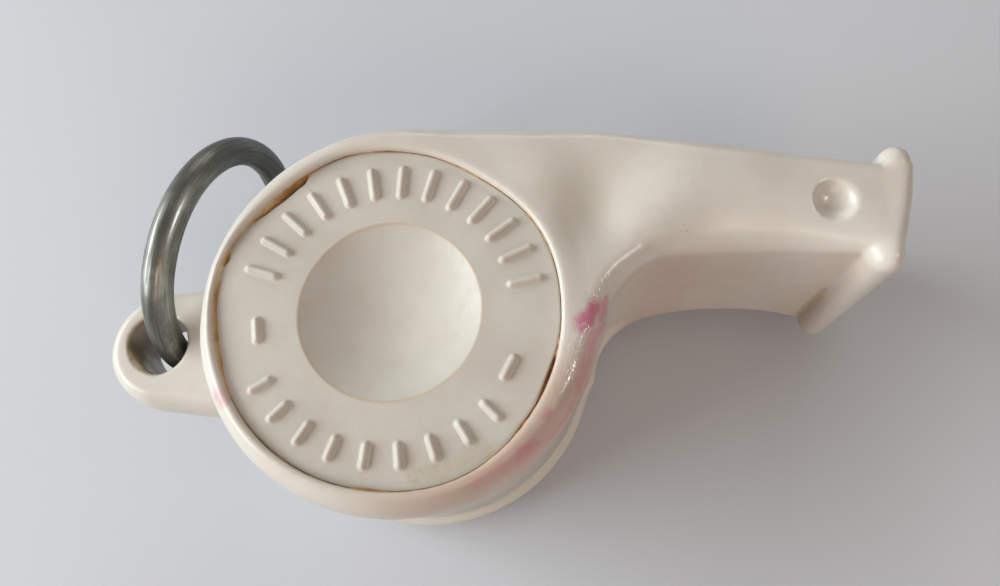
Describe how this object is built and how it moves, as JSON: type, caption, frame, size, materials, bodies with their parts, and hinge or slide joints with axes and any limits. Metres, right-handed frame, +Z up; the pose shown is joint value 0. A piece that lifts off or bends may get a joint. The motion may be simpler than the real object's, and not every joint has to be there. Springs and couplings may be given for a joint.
{
  "type": "pea whistle",
  "caption": "Moulded pea whistle for dog training, with a drum, side discs with thumb dishes, a lipped mouthpiece and a lug that carries a wire ring.",
  "frame": {"origin": "centre of the drum's outer circle on its lower rim plane, where the whistle rests on its side", "axes": "+Z up along the drum's axis, +X towards the mouthpiece, +Y towards the roof side with the window"},
  "size_m": [0.0606, 0.0312, 0.0223],
  "materials": {
    "ivory_plastic": "glossy ivory moulding, lightly worn",
    "disc_plastic": "ivory plastic, a little greyer and less glossy than the body",
    "aged_cement": "brown aged cement line",
    "cork": "natural cork",
    "ring_steel": "dull plated steel wire with small rust marks"
  },
  "bodies": {
    "whistle": {"whistle_body": "ivory_plastic", "front_disc": "disc_plastic", "rear_disc": "disc_plastic", "front_cement_bead": "aged_cement", "rear_cement_bead": "aged_cement"},
    "pea": {"cork_pea": "cork"},
    "ring": {"wire_ring": "ring_steel"}
  },
  "joints": [
    {"name": "pea_orbit", "type": "hinge", "parent": "whistle", "child": "pea", "pos_m": [-0.0003, -0.0004, 0.01115], "axis": [0, 0, 1], "continuous": true},
    {"name": "ring_swing", "type": "hinge", "parent": "whistle", "child": "ring", "pos_m": [-0.0197, -0.0016, 0.01115], "axis": [0, 0, 1], "range_deg": [-8, 190]}
  ]
}
